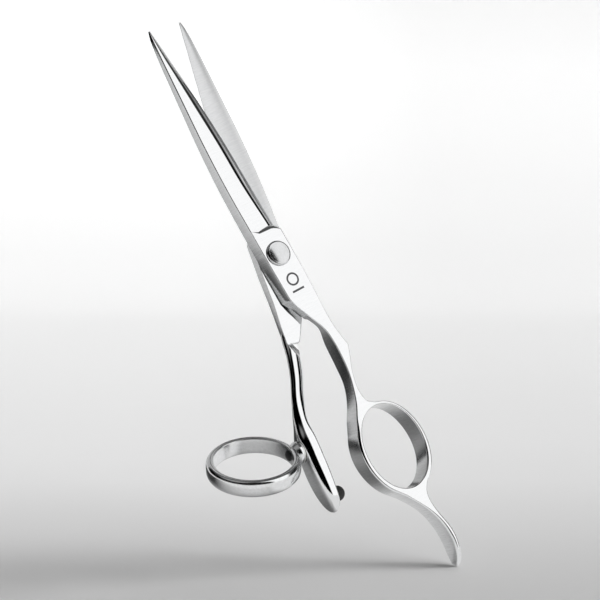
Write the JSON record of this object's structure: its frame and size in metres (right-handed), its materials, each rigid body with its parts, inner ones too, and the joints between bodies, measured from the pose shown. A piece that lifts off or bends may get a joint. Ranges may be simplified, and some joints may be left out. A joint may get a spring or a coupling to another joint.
{
  "type": "hair cutting shears",
  "caption": "Offset-handle hair cutting shears with a swivelling thumb ring, domed pivot screw, tension dial, rubber stop and curved finger rest.",
  "frame": {"origin": "on the pivot axis, at the rear face of the tension dial and its lock screw", "axes": "+Z along the pivot axis towards the domed screw head, +Y towards the blade tips along the finger blade, +X towards the finger side; the shears rest slightly open"},
  "size_m": [0.0633, 0.1762, 0.0226],
  "materials": {
    "blade_steel": "polished stainless steel, cross-brushed along the spine",
    "polished_steel": "mirror polished stainless steel",
    "spring_steel": "fine ground spring steel",
    "bearing_bronze": "turned bronze",
    "nylon": "smooth white nylon",
    "bumper_rubber": "matte black rubber",
    "cap_plastic": "satin black plastic"
  },
  "bodies": {
    "finger_side": {"finger_blade": "blade_steel", "pivot_screw": "polished_steel", "spring_washer": "spring_steel", "click_plate": "spring_steel", "lock_screw": "polished_steel"},
    "thumb_side": {"thumb_blade": "blade_steel", "pivot_bush": "bearing_bronze", "ride_washer": "nylon", "thrust_washer": "nylon", "bumper": "bumper_rubber", "swivel_washer": "nylon", "swivel_bush": "bearing_bronze", "swivel_spring": "spring_steel", "swivel_screw": "polished_steel"},
    "ring": {"thumb_ring": "polished_steel", "swivel_cap": "cap_plastic"},
    "dial": {"tension_dial": "polished_steel", "detent_balls": "spring_steel"}
  },
  "joints": [
    {"name": "blade_pivot", "type": "hinge", "parent": "finger_side", "child": "thumb_side", "pos_m": [0, 0, 0.0062], "axis": [0, 0, -1], "range_deg": [-7.5, 72]},
    {"name": "ring_swivel", "type": "hinge", "parent": "thumb_side", "child": "ring", "pos_m": [-0.02228, -0.0515, 0.0062], "axis": [-0.9744, 0.225, 0], "continuous": true},
    {"name": "dial_turn", "type": "hinge", "parent": "finger_side", "child": "dial", "pos_m": [0, 0, 0], "axis": [0, 0, 1], "range_deg": [-150, 150]}
  ]
}
